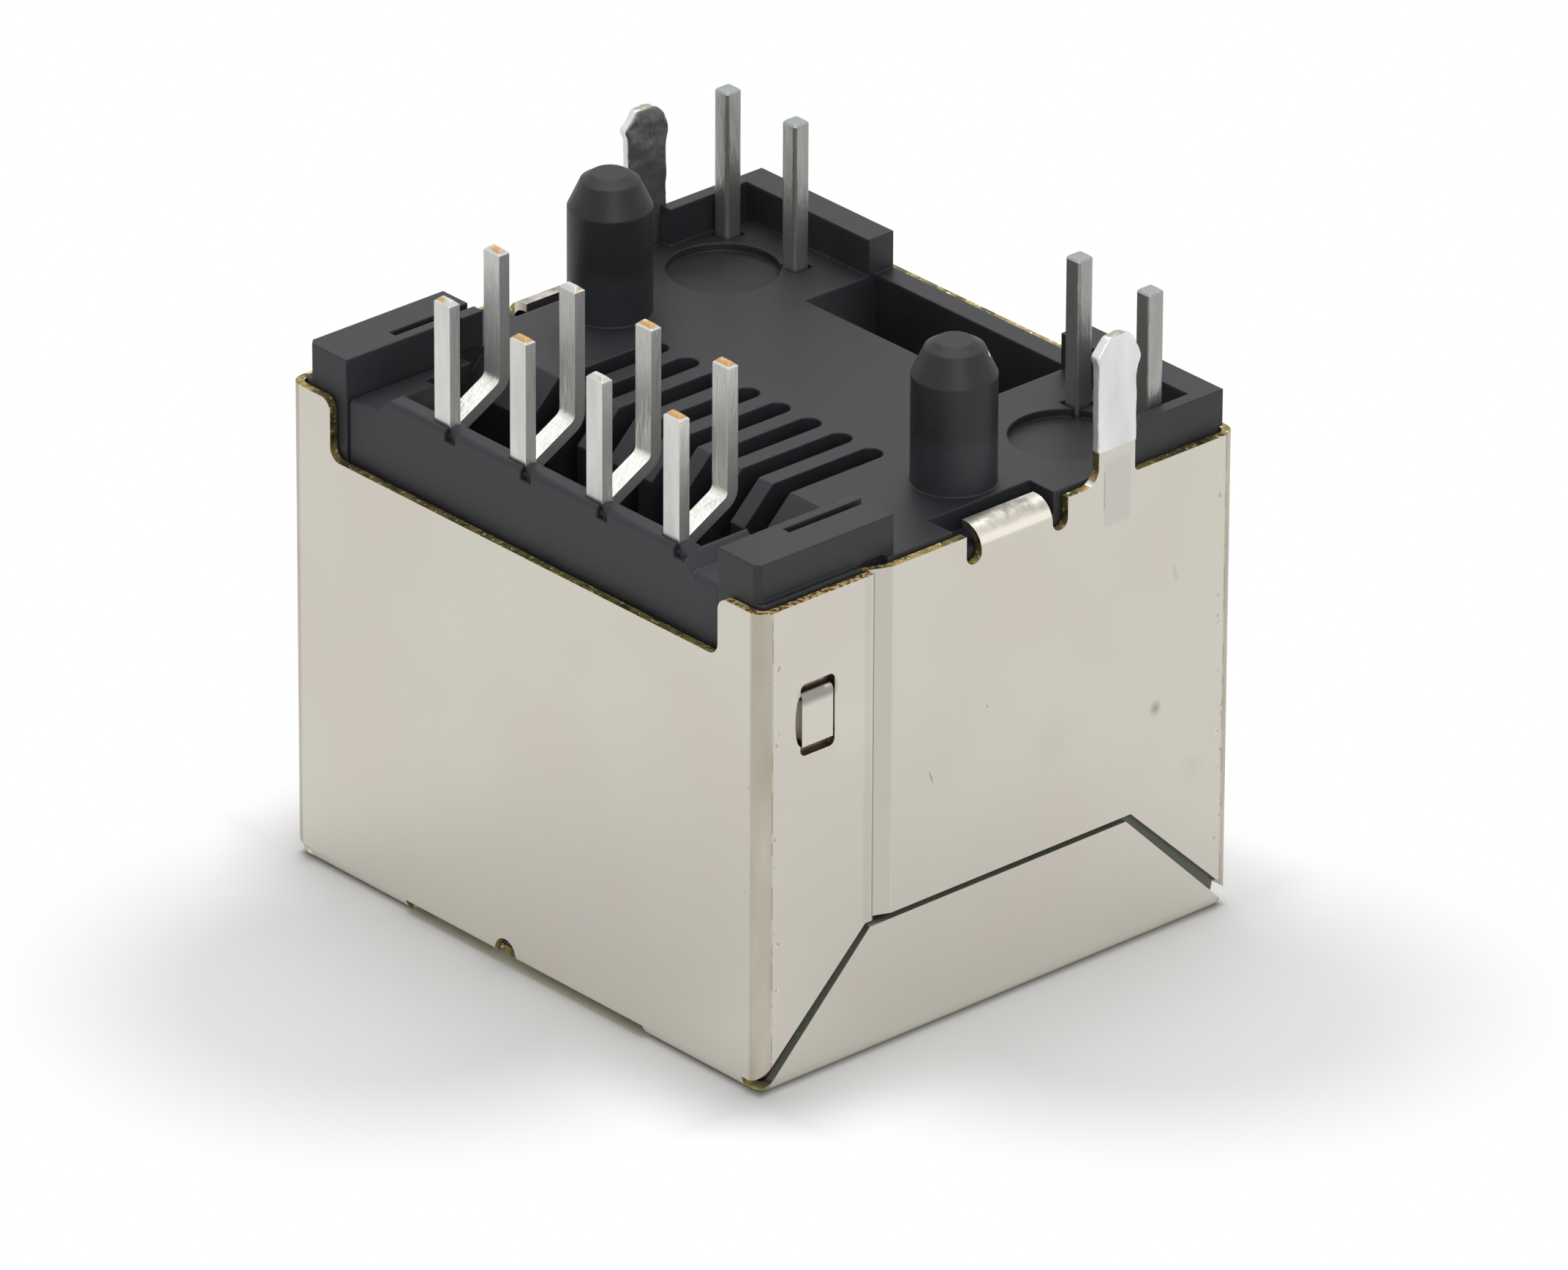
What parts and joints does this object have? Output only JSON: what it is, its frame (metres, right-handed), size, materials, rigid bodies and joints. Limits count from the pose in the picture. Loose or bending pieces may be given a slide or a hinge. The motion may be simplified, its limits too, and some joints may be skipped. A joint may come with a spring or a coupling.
{
  "type": "rj45 board jack",
  "caption": "Shielded modular network jack for a circuit board, shown board side up, with staggered signal pins, board pegs, solder tabs and corner lights.",
  "frame": {"origin": "centre of the footprint, on the surface that the shield's top panel rests on", "axes": "+Z from the resting top panel to the board side with the pins, +Y out of the plug port, X across the contacts"},
  "size_m": [0.0158, 0.0142, 0.0155],
  "materials": {
    "shield_plating": "satin nickel plate with bare cut edges",
    "housing_plastic": "matte moulded",
    "carrier_plastic": "matte moulded",
    "contact_plating": "tin plate on copper alloy",
    "led_lens_green": "clear tinted",
    "led_lens_amber": "clear tinted",
    "led_lead": "tin plate on steel"
  },
  "bodies": {
    "root": {"shield": "shield_plating", "housing": "housing_plastic", "contact_carrier": "carrier_plastic", "contact_1": "contact_plating", "contact_2": "contact_plating", "contact_3": "contact_plating", "contact_4": "contact_plating", "contact_5": "contact_plating", "contact_6": "contact_plating", "contact_7": "contact_plating", "contact_8": "contact_plating", "led_left": "led_lens_green", "led_right": "led_lens_amber", "led_left_lead_inner": "led_lead", "led_left_lead_outer": "led_lead", "led_right_lead_inner": "led_lead", "led_right_lead_outer": "led_lead"}
  },
  "joints": []
}
